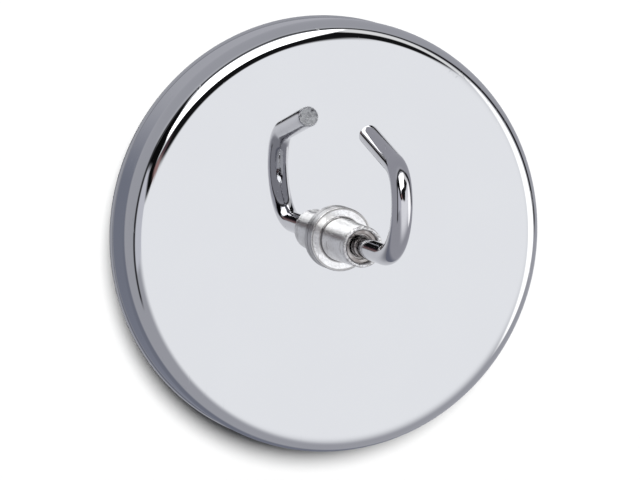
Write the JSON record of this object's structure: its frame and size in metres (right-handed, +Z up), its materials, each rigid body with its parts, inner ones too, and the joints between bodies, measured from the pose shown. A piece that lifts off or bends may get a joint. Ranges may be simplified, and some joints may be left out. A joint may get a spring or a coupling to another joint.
{
  "type": "magnet fishing magnet",
  "caption": "Round chrome-plated steel cup magnet with a flanged turned bush at its centre and a bent wire hook that swivels in it, to tie a line to or hang things from.",
  "frame": {"origin": "centre of the magnetic face, which the magnet rests on", "axes": "+Z up the axis from the magnetic face to the hook, +Y towards the hook's tip, +X to the right"},
  "size_m": [0.067, 0.067, 0.0424],
  "materials": {
    "cup_chrome": "mirror polished plating",
    "wire_chrome": "bright plating over drawn wire",
    "turned_steel": "bright turned, lightly scratched",
    "spring_steel": "dull, slightly oily",
    "plain_steel": "plain",
    "ferrite": "ground, matte charcoal",
    "potting_resin": "cast resin",
    "adhesive": "cured"
  },
  "bodies": {
    "base": {"cup": "cup_chrome", "magnet_ring": "ferrite", "magnet_adhesive": "adhesive", "potting_ring": "potting_resin", "centre_plug": "potting_resin", "backing_washer": "plain_steel", "hook_bush": "turned_steel", "retaining_washer": "spring_steel", "retaining_ring": "spring_steel"},
    "hook": {"hook_wire": "wire_chrome", "shank_collar": "plain_steel"}
  },
  "joints": [
    {"name": "hook_swivel", "type": "hinge", "parent": "base", "child": "hook", "pos_m": [0, 0, 0.0225], "axis": [0, 0, 1], "continuous": true}
  ]
}
